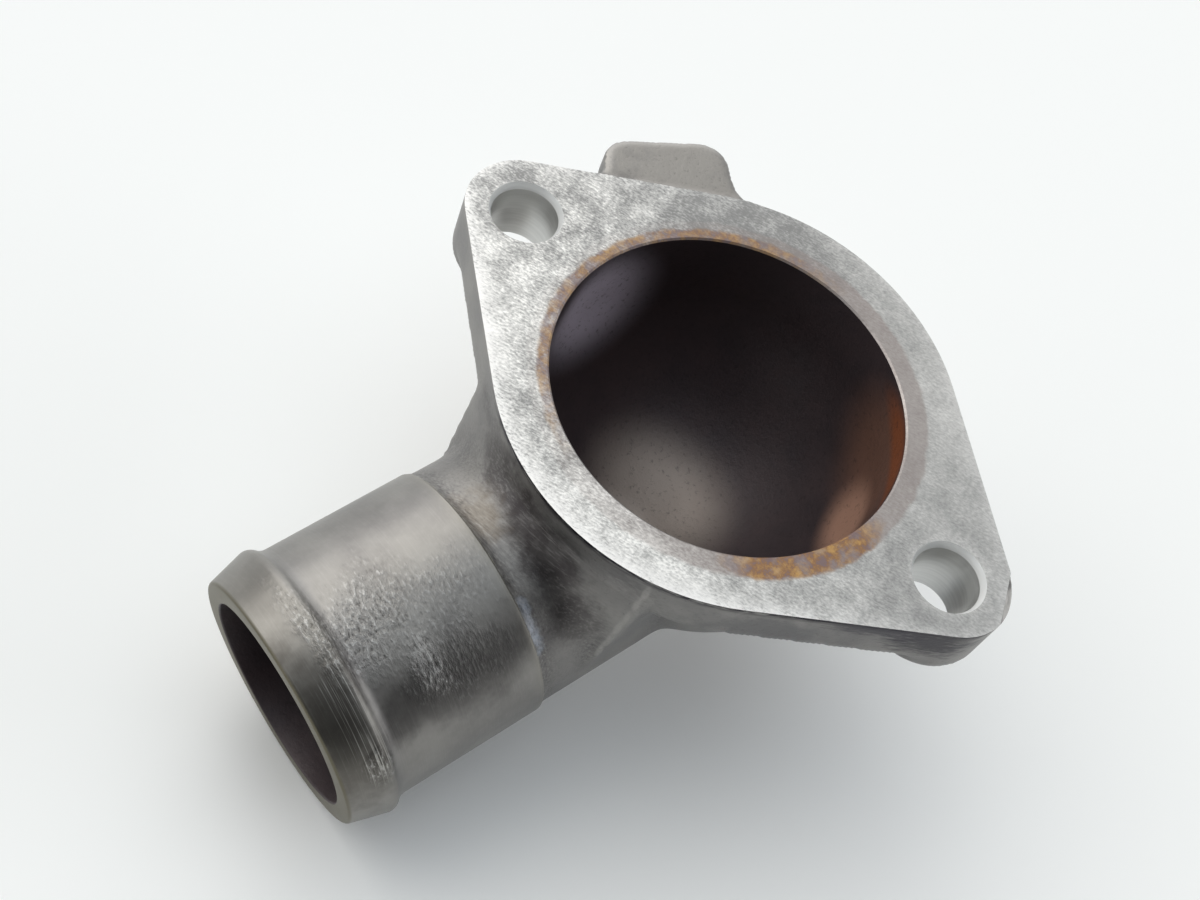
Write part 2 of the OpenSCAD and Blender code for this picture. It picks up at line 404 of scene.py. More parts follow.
# %% chipped ear
CHIP_STEP, CHIP_GRAIN, CHIP_ROUGH = 0.3 * MM, 14, 0.14 * MM
bm = bmesh.new()
bmesh.ops.create_grid(bm, x_segments=10, y_segments=50, size=0.5)
for vert in bm.verts:
    ragged = noise.noise(vert.co * CHIP_GRAIN) * CHIP_ROUGH
    out = vert.co.x + 0.5
    slope = ragged - CHIP_STEP - out * (nick_h - CHIP_STEP)
    vert.co = (ear_r + (2 * out - 1) * nick_w, vert.co.y * 2 * ear_r, slope)
on_tip = Matrix.Translation((bolt_x, ear_y, 0)) @ Matrix.Rotation(nick_turn, 4, "Z")
machine(casting, topped("chip", bm, BURIED, on_tip), "DIFFERENCE")

# %% [markdown]
# Where two surfaces nearly touch, a cut can leave a sliver that hangs on nothing, like swarf beside
# a lathe. So the mesh is walked from vertex to vertex, and only the largest connected part stays.

# %% swarf
bm = bmesh.new()
bm.from_mesh(casting.data)
unseen, parts = set(bm.verts), []
while unseen:
    parts.append({unseen.pop()})
    ahead = list(parts[-1])
    while ahead:
        vert = ahead.pop()
        near = {link.other_vert(vert) for link in vert.link_edges} & unseen
        unseen -= near
        parts[-1] |= near
        ahead += near
parts.sort(key=len)
bmesh.ops.delete(bm, geom=[vert for part in parts[:-1] for vert in part], context="VERTS")
bm.to_mesh(casting.data)
print("slivers swept away:", len(parts) - 1)
print("open edges:", sum(not link.is_manifold for link in bm.edges))
bm.free()

# %% [markdown]
# Each face now gets the finish of the step that made it. Where a face lies tells which step that
# was: on the joint plane, in a bolt hole, along the spigot, inside the bowl, or on the cast skin.
# Painting the faces by hand would do too, but a rule by place still holds after a change of size.

# %% finishes by place
FINISHES = ["die-cast aluminium skin", "milled aluminium face", "turned aluminium hose seat",
            "coolant-stained aluminium", "drilled aluminium"]
SKIN, MILLED, TURNED, STAINED, DRILLED = range(len(FINISHES))
LEANS_UP, LIES_FLAT = 0.2, 0.99
CREASE = math.radians(32)
mesh = casting.data
centre, normal = np.empty(len(mesh.polygons) * 3), np.empty(len(mesh.polygons) * 3)
mesh.polygons.foreach_get("center", centre)
mesh.polygons.foreach_get("normal", normal)
centre, normal = centre.reshape(-1, 3), normal.reshape(-1, 3)
height, facing = centre[:, 2], normal[:, 2]
from_spigot = centre - np.array(spigot_origin)
along = from_spigot @ np.array(spigot_dir)
off_axis = np.linalg.norm(from_spigot - along[:, None] * np.array(spigot_dir), axis=1)
off_bowl = np.where(height > -bowl_straight, np.hypot(centre[:, 0], centre[:, 1]),
                    np.linalg.norm(centre + [0, 0, bowl_straight], axis=1))
off_bolt = np.hypot(abs(centre[:, 0]) - bolt_x, centre[:, 1])
in_bowl = off_bowl < bowl_r + bowl_wall / 2
in_bore = (off_axis < (bore_r + neck_r) / 2) & (along > 0)
on_seat = (along > seat_start - TINY) & (off_axis > bore_r + EDGE_R / 2)
in_hole = off_bolt < bolt_r + chamfer_w * (height > -chamfer_h)
at_opening = (height > -DEBUR) & (facing > LEANS_UP) & (off_bowl < bowl_r + DEBUR)
on_face = (abs(height) < TINY) & (facing > LIES_FLAT)
finish = np.full(len(centre), SKIN)
for faces, kind in ((in_bowl | in_bore, STAINED), (on_seat, TURNED), (in_hole, DRILLED),
                    (at_opening | on_face, MILLED)):
    finish[faces] = kind
mesh.polygons.foreach_set("use_smooth", np.ones(len(finish), bool))
mesh.set_sharp_from_angle(angle=CREASE)
materials = {}
mesh.materials.clear()
for name in FINISHES:
    materials[name] = bpy.data.materials.new(name)
    materials[name].use_nodes = True
    mesh.materials.append(materials[name])
mesh.polygons.foreach_set("material_index", finish.astype(np.int32))
mesh.calc_loop_triangles()
print("triangles:", len(mesh.loop_triangles))
print("faces:", {name: int((finish == kind).sum()) for kind, name in enumerate(FINISHES)})

# %% [markdown]
# Wear, dirt and shade follow the shape: hands and tools polish what stands out, and grime stays in the
# hollows, where shade falls too. So three measures are stored on the vertices for the shaders to read:
# hollow and edge from the surface itself, and rim, which fades from the outline of the joint face
# inwards. The skin darkens its hollows by the hollow measure, as grime and as painted shade.

# %% wear, grime and shade measures
HOLLOW_ROUNDS, HOLLOW_GAIN = 25, 16
EDGE_ROUNDS, EDGE_GAIN = 3, 4
RIM_FADE = 1.3 * MM
PAST_BOWL, PAST_HOLE = bowl_r + 2 * MM, bolt_r + 1.5 * MM
rise, average = rises(mesh)
hollow = np.clip(spread(np.maximum(rise, 0), average, HOLLOW_ROUNDS) * HOLLOW_GAIN, 0, 1)
edge = np.clip(spread(np.maximum(-rise, 0), average, EDGE_ROUNDS) * EDGE_GAIN, 0, 1)
places = np.empty(len(mesh.vertices) * 3)
mesh.vertices.foreach_get("co", places)
places = places.reshape(-1, 3)
outline = KDTree(len(mesh.vertices))
for link in mesh.edges:
    one, two = (places[i] for i in link.vertices)
    if max(abs(one[2]), abs(two[2])) < TINY and link.use_edge_sharp:
        middle = Vector((one + two) / 2)
        off_hole = math.hypot(abs(middle.x) - bolt_x, middle.y)
        if math.hypot(middle.x, middle.y) > PAST_BOWL and off_hole > PAST_HOLE:
            outline.insert(middle, link.index)
outline.balance()
rim = np.zeros(len(places))
for index in np.flatnonzero(abs(places[:, 2]) < TINY):
    rim[index] = math.exp(-outline.find(places[index])[2] / RIM_FADE)
for name, values in (("hollow", hollow), ("edge", edge), ("rim", rim)):
    mesh.attributes.new(name, "FLOAT", "POINT").data.foreach_set("value", values.astype(np.float32))
    print(name, "mean", round(float(values.mean()), 3), "max", round(float(values.max()), 3))

# %% [markdown]
# All finishes share one way in: the place on the part in millimetres. A noise of scale 1 / 3 then
# has features of about three millimetres, so each pattern is written with its real size.
# Stains that lie in one place only are soft marks: a list gives the middle and the half sizes of
# each in millimetres, its tone and its amount.

# %% helpers for finishes
# The Mix node has one set of sockets for each type of data. These are the numbers for colours.
FACTOR, A, B, COLOUR = 0, 6, 7, 2
# A mark has its full amount up to the one distance from its middle, and ends at the other.
MARK_FULL, MARK_EDGE = 1.1, 1.8
# A ragged value of 0 to 1 moves the mark's edge by this much. A plain 0.5 keeps the edge even.
MARK_RAGGED, EVEN = 1.6, 0.5


def open_finish(name):
    """The node tree of a finish, its shader, and the place on the part in millimetres."""
    tree = materials[name].node_tree
    place = add(tree, "ShaderNodeTexCoord").outputs["Object"]
    mm = add(tree, VECTOR, {0: place, "Scale": 1 / MM}, operation="SCALE")
    return tree, tree.nodes["Principled BSDF"], mm.outputs[0]


def layer(tree, under, over, amount):
    """The colour under, covered with the colour over by an amount from 0 to 1."""
    mix = add(tree, "ShaderNodeMix", {FACTOR: amount, A: under, B: over}, data_type="RGBA")
    return mix.outputs[COLOUR]


def marked(tree, place, colour, ragged, marks):
    """Covers a colour with soft marks, each with its middle, half sizes, tone and amount."""
    for middle, sizes, tone, amount in marks:
        off = add(tree, VECTOR, {0: place, 1: middle}, operation="SUBTRACT")
        off = add(tree, VECTOR, {0: off.outputs[0], 1: sizes}, operation="DIVIDE")
        off = add(tree, VECTOR, {0: off.outputs[0]}, operation="LENGTH")
        off = add(tree, MATH, {0: ragged, 1: MARK_RAGGED, 2: off.outputs["Value"]},
                  operation="MULTIPLY_ADD")
        mark = add(tree, RANGE, {"Value": off.outputs[0], "From Min": MARK_EDGE,
                                 "From Max": MARK_FULL, "To Max": amount},
                   interpolation_type="SMOOTHSTEP")
        colour = layer(tree, colour, linear(tone), mark.outputs["Result"])
    return colour


# %% [markdown]
# The cast skin is aluminium as it left the die: a dull grey with a fine sandy grain, cloudy from the
# die's release film. The stored measure darkens its hollows, for the oily grime that stays there and as
# painted shade. Marks add what lies in one place: dark grime with painted shade and a tan stain in the
# valley, a paler tab, a darker side, bright metal in the chip and along the ridge, and a painted bluish
# highlight just below the spigot's step.

# %% die-cast aluminium skin
SAND, CLOUD, BLOTCH = 0.45, 9, 2.6
# The six dark marks in the valley are grime and painted shade together.
SKIN_STAINS_AND_PAINTED_LIGHT = [((-13.5, -25.3, -3.8), (5, 4, 4), "#2e2629", 0.45),
              ((-9.5, -27.8, -4.5), (5, 4, 4), "#2e2629", 0.5),
              ((-5.5, -29, -4.8), (5, 4, 4.5), "#2e2629", 0.55),
              ((-1.5, -30, -6.2), (5, 4, 5), "#2c2427", 0.5),
              ((2, -30.6, -8.5), (5, 4, 5), "#2c2427", 0.45),
              ((5, -30.8, -11.5), (5, 4, 5), "#2e282a", 0.45),
              ((-10.5, -31.3, -7), (4.5, 4, 4), "#776c5d", 0.42),
              ((-26, 23, 0), (15, 15, 3), "#9a9792", 0.75),
              ((22, -19, -5), (16, 8, 6), "#5f5e61", 0.55),
              ((41, 2.6, -0.6), (3.2, 9, 1.6), "#aeaca8", 1)]
RIDGE_TOP, RIDGE_FOOT = Vector((9.6, -27.1, -2.5)), Vector((9, -29, -15.5))
SKIN_STAINS_AND_PAINTED_LIGHT += [(RIDGE_TOP.lerp(RIDGE_FOOT, i / 5), (0.5, 0.5, 2.2), "#b8b5b0", 0.3) for i in range(6)]
# Just below the spigot's step the marks are a painted bluish highlight.
STEP_BELOW = 0.5 * MM
for angle in (0.55, 0.63, 0.71, 0.79, 0.87, 0.95):
    place = Vector((neck_r * math.sin(angle), neck_r * math.cos(angle), seat_start - STEP_BELOW))
    SKIN_STAINS_AND_PAINTED_LIGHT.append((on_spigot @ place / MM, (1.1, 1.1, 1.1), "#a7b0bd", 0.4))
tree, shader, mm = open_finish(FINISHES[SKIN])
cloud = add(tree, NOISE, {"Vector": mm, "Scale": 1 / CLOUD, "Detail": 3, "Roughness": 0.6})
sand = add(tree, NOISE, {"Vector": mm, "Scale": 1 / SAND, "Detail": 4, "Roughness": 0.65})
blotch = add(tree, NOISE, {"Vector": mm, "Scale": 1 / BLOTCH, "Detail": 5, "Roughness": 0.6})
tone = add(tree, RANGE, {"Value": cloud.outputs["Fac"], "From Min": 0.35, "From Max": 0.65})
colour = layer(tree, linear("#787675"), linear("#908e8b"), tone.outputs["Result"])
hollow_value = add(tree, "ShaderNodeAttribute", attribute_name="hollow").outputs["Fac"]
patchy = add(tree, RANGE, {"Value": blotch.outputs["Fac"], "From Min": 0.3, "From Max": 0.65,
                           "To Min": 0.35, "To Max": 0.8})
# Darkens the hollows: oily grime and painted shade together.
grime_and_shade = add(tree, MATH, {0: hollow_value, 1: patchy.outputs["Result"]}, operation="MULTIPLY")
colour = layer(tree, colour, linear("#2c2829"), grime_and_shade.outputs[0])
colour = marked(tree, mm, colour, blotch.outputs["Fac"], SKIN_STAINS_AND_PAINTED_LIGHT)
speck = add(tree, RANGE, {"Value": sand.outputs["Fac"], "From Min": 0.42, "From Max": 0.28,
                          "To Max": 0.35})
colour = layer(tree, colour, linear("#4a4746"), speck.outputs["Result"])
print(FINISHES[SKIN], "so far", len(tree.nodes), "nodes,", len(SKIN_STAINS_AND_PAINTED_LIGHT), "marks")

# %% [markdown]
# Hoses and tools have scuffed the skin on the spigot's side with short pale and dark strokes. A
# noise that is long one way and narrow the other gives both, most of all in the hollows. Hands
# polish the edges, so the stored measure lightens them.

# %% scuffs and rubbed edges
SCUFF_LONG, SCUFF_WIDE = 2.4, 0.28
SCUFF_START, SCUFF_FULL = 10, 20
scuff_way = add(tree, VECTOR, {0: mm, 1: (1 / SCUFF_LONG, 1 / SCUFF_WIDE, 1 / SCUFF_WIDE)},
                operation="MULTIPLY")
scuff = add(tree, NOISE, {"Vector": scuff_way.outputs[0], "Scale": 1, "Detail": 3, "Roughness": 0.6})
scuffed = add(tree, RANGE, {"Value": hollow_value, "From Max": 0.4, "To Min": 0.05, "To Max": 0.55})
outwards = add(tree, VECTOR, {0: mm, 1: (0, -1, 0)}, operation="DOT_PRODUCT")
in_valley = add(tree, RANGE, {"Value": outwards.outputs["Value"], "From Min": SCUFF_START,
                              "From Max": SCUFF_FULL})
scuffed = add(tree, MATH, {0: scuffed.outputs["Result"], 1: in_valley.outputs["Result"]},
              operation="MULTIPLY")
pale = add(tree, RANGE, {"Value": scuff.outputs["Fac"], "From Min": 0.52, "From Max": 0.74,
                         "To Max": scuffed.outputs[0]})
colour = layer(tree, colour, linear("#a8a6a3"), pale.outputs["Result"])
dull = add(tree, RANGE, {"Value": scuff.outputs["Fac"], "From Min": 0.48, "From Max": 0.3,
                         "To Max": scuffed.outputs[0]})
colour = layer(tree, colour, linear("#454344"), dull.outputs["Result"])
edge_value = add(tree, "ShaderNodeAttribute", attribute_name="edge").outputs["Fac"]
rubbed_and_sheen = add(tree, MATH, {0: edge_value, 1: blotch.outputs["Fac"]}, operation="MULTIPLY")
colour = layer(tree, colour, linear("#bab8b4"), rubbed_and_sheen.outputs[0])
print(FINISHES[SKIN], "so far", len(tree.nodes), "nodes")

# %% [markdown]
# Oil that ran off the joint face has dried in a dark line just below its edge, on the spigot's
# side, and in two smears at the second ear. The bare skin is a dull metal, and the sandy grain is
# a bump, because grains of half a millimetre would need far too many faces.

# %% dried oil and the skin's surface
RUN_LONG, RUN_HIGH = 2.2, 0.4
OIL_MARKS = [((36.5, -7, -2.5), (7, 7, 3.8), "#2b2832", 0.8),
             ((31, -11.5, -1), (9, 7, 1.6), "#35323c", 0.7)]
height = add(tree, "ShaderNodeSeparateXYZ", {0: mm}).outputs["Z"]
close = add(tree, RANGE, {"Value": height, "From Min": -1.1, "From Max": -0.3})
run_way = add(tree, VECTOR, {0: mm, 1: (1 / RUN_LONG, 1 / RUN_LONG, 1 / RUN_HIGH)},
              operation="MULTIPLY")
run = add(tree, NOISE, {"Vector": run_way.outputs[0], "Scale": 1, "Detail": 4, "Roughness": 0.65})
run_amount = add(tree, RANGE, {"Value": run.outputs["Fac"], "From Min": 0.34, "From Max": 0.52})
oil = add(tree, MATH, {0: close.outputs["Result"], 1: run_amount.outputs["Result"]},
          operation="MULTIPLY")
low_side = add(tree, VECTOR, {0: mm, 1: (0.35, -0.94, 0)}, operation="DOT_PRODUCT")
low_side = add(tree, RANGE, {"Value": low_side.outputs["Value"], "From Min": 12, "From Max": 18})
oil = add(tree, MATH, {0: oil.outputs[0], 1: low_side.outputs["Result"]}, operation="MULTIPLY")
colour = layer(tree, colour, linear("#221d26"), oil.outputs[0])
colour = marked(tree, mm, colour, run.outputs["Fac"], OIL_MARKS)
tree.links.new(colour, shader.inputs["Base Color"])
shader.inputs["Metallic"].default_value = 0.85
gloss = add(tree, RANGE, {"Value": cloud.outputs["Fac"], "To Min": 0.36, "To Max": 0.56})
tree.links.new(gloss.outputs["Result"], shader.inputs["Roughness"])
bump = add(tree, "ShaderNodeBump", {"Height": sand.outputs["Fac"], "Strength": 0.35,
                                    "Distance": 0.12 * MM})
tree.links.new(bump.outputs["Normal"], shader.inputs["Normal"])
print(FINISHES[SKIN], len(tree.nodes), "nodes")

# %% [markdown]
# The joint face was milled and later cleaned with an abrasive pad, mostly along the bolt line.
# The short bright and dark streaks are drawn coarser than the pad's real lines, so that they show, and
# their bright flecks are in part painted glints. A larger noise gathers them in clumps, more so on the
# worn side, and grey marks make whole places darker or lighter than the middle grey: the darker top and
# the lighter left, right and lower places are in part a painted reflection of the room. The outline is
# rubbed bright by the stored measure.

# %% milled aluminium face
GRAIN_LONG, GRAIN_WIDE, PATCH, PATCH_GAIN = 0.55, 0.27, 2.8, 0.85
GRAIN_TURN = math.radians(15)
FLECK_POWER = 1.6
FACE_GREY = "#959595"
# The grey marks are partly uneven wear and partly a painted reflection of the room: darker at the top,
# lighter at the left, right and bottom.
FACE_TONES_AND_REFLECTION = [((-15, 22, 0), (22, 14, 9), "#5c5c5c", 0.9),
              ((19, 18, 0), (10, 10, 9), "#aaaaaa", 0.7),
              ((33, -3, 0), (10, 10, 9), "#6e6e6e", 0.7),
              ((-25, -14, 0), (12, 15, 9), "#b8b8b8", 0.6),
              ((6, -26, 0), (20, 8, 9), "#c0c0c0", 0.6),
              ((-33, 0, 0), (6.6, 6.6, 6), "#b4b4b4", 0.6),
              ((-38, 3, 0), (6, 9, 9), "#757575", 0.8),
              ((33, 0, 0), (6.6, 6.6, 6), "#c8c8c8", 0.8)]
tree, shader, mm = open_finish(FINISHES[MILLED])
rubbing = add(tree, "ShaderNodeMapping", {"Vector": mm, "Rotation": (0, 0, GRAIN_TURN),
                                          "Scale": (GRAIN_LONG, GRAIN_WIDE, 1)},
              vector_type="TEXTURE")
grain = add(tree, NOISE, {"Vector": rubbing.outputs["Vector"], "Scale": 1, "Detail": 3,
                          "Roughness": 0.65})
patch = add(tree, NOISE, {"Vector": mm, "Scale": 1 / PATCH, "Detail": 5, "Roughness": 0.66})
worn_side = add(tree, VECTOR, {0: mm, 1: (-0.75, -0.66, 0)}, operation="DOT_PRODUCT")
worn_part = add(tree, RANGE, {"Value": worn_side.outputs["Value"], "From Min": -22, "From Max": 18,
                              "To Min": 0.5, "To Max": 1.25})
sway = add(tree, MATH, {0: grain.outputs["Fac"], 1: 0.5}, operation="SUBTRACT")
clump = add(tree, MATH, {0: patch.outputs["Fac"], 1: 0.5}, operation="SUBTRACT")
light = add(tree, MATH, {0: clump.outputs[0], 1: PATCH_GAIN, 2: sway.outputs[0]},
            operation="MULTIPLY_ADD")
grey = marked(tree, mm, linear(FACE_GREY), EVEN, FACE_TONES_AND_REFLECTION)
light = add(tree, MATH, {0: light.outputs[0], 1: worn_part.outputs["Result"], 2: grey},
            operation="MULTIPLY_ADD").outputs[0]
tone = add(tree, RANGE, {"Value": light, "From Min": 0.01, "From Max": 0.61})
# The power leaves bright flecks on a grey ground, which are in part painted glints of the metal.
tone = add(tree, MATH, {0: tone.outputs["Result"], 1: FLECK_POWER}, operation="POWER")
colour = layer(tree, linear("#8a8a89"), linear("#f4f3f0"), tone.outputs[0])
rim_value = add(tree, "ShaderNodeAttribute", attribute_name="rim").outputs["Fac"]
rim_part = add(tree, RANGE, {"Value": light, "From Min": 0.05, "From Max": 0.35, "To Min": 0.25})
bright = add(tree, MATH, {0: rim_value, 1: rim_part.outputs["Result"]}, operation="MULTIPLY")
low_side = add(tree, VECTOR, {0: mm, 1: (-0.35, -0.94, 0)}, operation="DOT_PRODUCT")
low_side = add(tree, RANGE, {"Value": low_side.outputs["Value"], "From Min": -2, "From Max": 16,
                             "To Min": 0.35})
bright = add(tree, MATH, {0: bright.outputs[0], 1: low_side.outputs["Result"]}, operation="MULTIPLY")
colour = layer(tree, colour, linear("#f1f0ee"), bright.outputs[0])
print(FINISHES[MILLED], "so far", len(tree.nodes), "nodes,", len(FACE_TONES_AND_REFLECTION), "marks")

# %% [markdown]
# A gasket kept a ring round the opening wet. It left a thin film, strongest towards +X, and a
# narrow band of rust where coolant crept under it: towards -X, and wider between +X and -Y.
# The bands are measured from the bowl's axis, and a noise makes their edges ragged. Rust is no
# metal, so it takes the metallic value down as well.

# %% gasket ring and the face's surface
RING_RAGGED, RING_SOFT = 1.4, 0.3
FILM_EDGE, RUST_EDGE = (bowl_r / MM + RING_RAGGED / 2 + width for width in (2.7, 1.5))
RUST_WIDER = 1.4
CREEP, MOTTLE = 2.2, 1.8
flat = add(tree, VECTOR, {0: mm, 1: (1, 1, 0)}, operation="MULTIPLY")
radius = add(tree, VECTOR, {0: flat.outputs[0]}, operation="LENGTH")
bearing = add(tree, VECTOR, {0: flat.outputs[0]}, operation="NORMALIZE")
creep = add(tree, NOISE, {"Vector": mm, "Scale": 1 / CREEP, "Detail": 5, "Roughness": 0.6})
reach = add(tree, MATH, {0: creep.outputs["Fac"], 1: RING_RAGGED, 2: radius.outputs["Value"]},
            operation="MULTIPLY_ADD")
film = add(tree, RANGE, {"Value": reach.outputs[0], "From Min": FILM_EDGE + RING_SOFT,
                         "From Max": FILM_EDGE - RING_SOFT, "To Max": 0.6},
           interpolation_type="SMOOTHSTEP")
right = add(tree, VECTOR, {0: bearing.outputs[0], 1: (0.95, 0.3, 0)}, operation="DOT_PRODUCT")
right = add(tree, RANGE, {"Value": right.outputs["Value"], "From Min": -0.7, "From Max": 0.3,
                          "To Min": 0.2})
film = add(tree, MATH, {0: film.outputs["Result"], 1: right.outputs["Result"]}, operation="MULTIPLY")
colour = layer(tree, colour, linear("#978b87"), film.outputs[0])
upper = add(tree, VECTOR, {0: bearing.outputs[0], 1: (-0.98, 0.17, 0)}, operation="DOT_PRODUCT")
upper = add(tree, RANGE, {"Value": upper.outputs["Value"], "From Min": 0.1, "From Max": 0.6,
                          "To Max": 0.85})
lower = add(tree, VECTOR, {0: bearing.outputs[0], 1: (0.88, -0.47, 0)}, operation="DOT_PRODUCT")
lower = add(tree, RANGE, {"Value": lower.outputs["Value"], "From Min": 0.87, "From Max": 0.95})
wide = add(tree, MATH, {0: lower.outputs["Result"], 1: -RUST_WIDER, 2: reach.outputs[0]},
           operation="MULTIPLY_ADD")
ring = add(tree, RANGE, {"Value": wide.outputs[0], "From Min": RUST_EDGE + RING_SOFT,
                         "From Max": RUST_EDGE - RING_SOFT}, interpolation_type="SMOOTHSTEP")
where = add(tree, MATH, {0: upper.outputs["Result"], 1: lower.outputs["Result"]}, operation="MAXIMUM")
gaps = add(tree, RANGE, {"Value": creep.outputs["Fac"], "From Min": 0.38, "From Max": 0.53,
                         "To Min": 0.6, "To Max": 0.95})
stain = add(tree, MATH, {0: ring.outputs["Result"], 1: where.outputs[0]}, operation="MULTIPLY")
stain = add(tree, MATH, {0: stain.outputs[0], 1: gaps.outputs["Result"]}, operation="MULTIPLY")
mottle = add(tree, NOISE, {"Vector": mm, "Scale": 1 / MOTTLE, "Detail": 4, "Roughness": 0.7})
rust = add(tree, "ShaderNodeValToRGB", {"Fac": mottle.outputs["Fac"]})
dark_rust, pale_rust = rust.color_ramp.elements
dark_rust.position, pale_rust.position = 0.42, 0.66
dark_rust.color, pale_rust.color = linear("#75605f"), linear("#b48b4c")
rust.color_ramp.elements.new(0.5).color = linear("#87613d")
colour = layer(tree, colour, rust.outputs["Color"], stain.outputs[0])
tree.links.new(colour, shader.inputs["Base Color"])
bare = add(tree, RANGE, {"Value": stain.outputs[0], "To Min": 0.92, "To Max": 0.15})
tree.links.new(bare.outputs["Result"], shader.inputs["Metallic"])
gloss = add(tree, RANGE, {"Value": light, "From Min": 0.05, "From Max": 0.45, "To Min": 0.56,
                          "To Max": 0.42})
tree.links.new(gloss.outputs["Result"], shader.inputs["Roughness"])
bump = add(tree, "ShaderNodeBump", {"Height": sway.outputs[0], "Strength": 0.4,
                                    "Distance": 0.06 * MM})
tree.links.new(bump.outputs["Normal"], shader.inputs["Normal"])
print(FINISHES[MILLED], len(tree.nodes), "nodes")

# %% [markdown]
# The hose seat was turned, then years of hoses and clamps scratched and pitted it. Scratches and flecks
# run round the tube, so their pattern is laid out in unrolled coordinates: the way round and the way
# along. The seam of that layout lies underneath. Lists of marks say where the pits and the scratches
# gather, where the seat is rubbed pale, and where a painted dark reflection of the dim room lies along
# the tube and on the bead. The dark and light flecks of the pits also paint their shade and glint.

# %% turned aluminium hose seat
SCRATCH_LONG, SCRATCH_WIDE, FLECK_LONG, FLECK_WIDE = 10, 0.14, 0.9, 0.42
SEAT_CLOUD = 7
PITTED = [((2, 48.5, 0), (9, 6, 1), "#ffffff", 0.7), ((-0.5, 53.6, 0), (8, 2.4, 1), "#ffffff", 0.9),
          ((7.5, 44.7, 0), (5.5, 2.6, 1), "#ffffff", 0.9), ((5, 42, 0), (11, 11, 1), "#ffffff", 0.35),
          ((16.5, 54, 0), (3, 2.2, 1), "#ffffff", 0.9)]
SCRATCHED = [((11.5, 54.3, 0), (10, 2.8, 1), "#ffffff", 1)]
# The two dark marks are a painted reflection of the dim room: one along the tube and one on the bead.
SEAT_WEAR_AND_DARK_REFLECTION = [((7.5, 44.7, 0), (4.6, 2.1, 1), "#bdbcba", 0.4), ((2, 49, 0), (8, 5, 1), "#a5a4a2", 0.25),
              ((11, 56.2, 0), (15, 5, 1), "#2f2a29", 0.62), ((12.5, 45, 0), (6, 17, 1), "#3a3839", 0.5)]
tree, shader, mm = open_finish(FINISHES[TURNED])
local = add(tree, "ShaderNodeMapping", {"Vector": mm, "Location": spigot_origin / MM,
                                        "Rotation": on_spigot.to_euler()}, vector_type="TEXTURE")
part = add(tree, "ShaderNodeSeparateXYZ", {0: local.outputs["Vector"]})
angle = add(tree, MATH, {0: part.outputs["X"], 1: part.outputs["Y"]}, operation="ARCTAN2")
around = add(tree, MATH, {0: angle.outputs[0], 1: seat_r / MM}, operation="MULTIPLY")
unrolled = add(tree, "ShaderNodeCombineXYZ", {"X": around.outputs[0], "Y": part.outputs["Z"]}).outputs[0]
scratch_way = add(tree, VECTOR, {0: unrolled, 1: (1 / SCRATCH_LONG, 1 / SCRATCH_WIDE, 1)},
                  operation="MULTIPLY")
scratch = add(tree, NOISE, {"Vector": scratch_way.outputs[0], "Scale": 1, "Detail": 3})
fleck_way = add(tree, VECTOR, {0: unrolled, 1: (1 / FLECK_LONG, 1 / FLECK_WIDE, 1)},
                operation="MULTIPLY")
fleck = add(tree, NOISE, {"Vector": fleck_way.outputs[0], "Scale": 1, "Detail": 4, "Roughness": 0.6})
cloud = add(tree, NOISE, {"Vector": mm, "Scale": 1 / SEAT_CLOUD, "Detail": 4, "Roughness": 0.6})
tone = add(tree, RANGE, {"Value": cloud.outputs["Fac"], "From Min": 0.35, "From Max": 0.65})
colour = layer(tree, linear("#7c7a78"), linear("#8d8b88"), tone.outputs["Result"])
colour = marked(tree, unrolled, colour, cloud.outputs["Fac"], SEAT_WEAR_AND_DARK_REFLECTION)
pitted = marked(tree, unrolled, linear("#383838"), cloud.outputs["Fac"], PITTED)
# The dark and light flecks paint the pits' shade and glint, beside the bump further down.
dark = add(tree, RANGE, {"Value": fleck.outputs["Fac"], "From Min": 0.44, "From Max": 0.32})
dark = add(tree, MATH, {0: dark.outputs["Result"], 1: pitted}, operation="MULTIPLY")
colour = layer(tree, colour, linear("#403e3d"), dark.outputs[0])
light = add(tree, RANGE, {"Value": fleck.outputs["Fac"], "From Min": 0.53, "From Max": 0.66})
light = add(tree, MATH, {0: light.outputs["Result"], 1: pitted}, operation="MULTIPLY")
colour = layer(tree, colour, linear("#bcbbb9"), light.outputs[0])
line = add(tree, RANGE, {"Value": scratch.outputs["Fac"], "From Min": 0.54, "From Max": 0.68})
scratched = marked(tree, unrolled, linear("#404040"), cloud.outputs["Fac"], SCRATCHED)
line = add(tree, MATH, {0: line.outputs["Result"], 1: scratched}, operation="MULTIPLY")
colour = layer(tree, colour, linear("#c6c4c0"), line.outputs[0])
print(FINISHES[TURNED], "so far", len(tree.nodes), "nodes")

# %% [markdown]
# The bead's crest and the tube's edges are rubbed to a warm grey, and the ring of the mouth keeps
# a dull brown film. The pits are a bump of the same flecks, so that their sides catch the light.

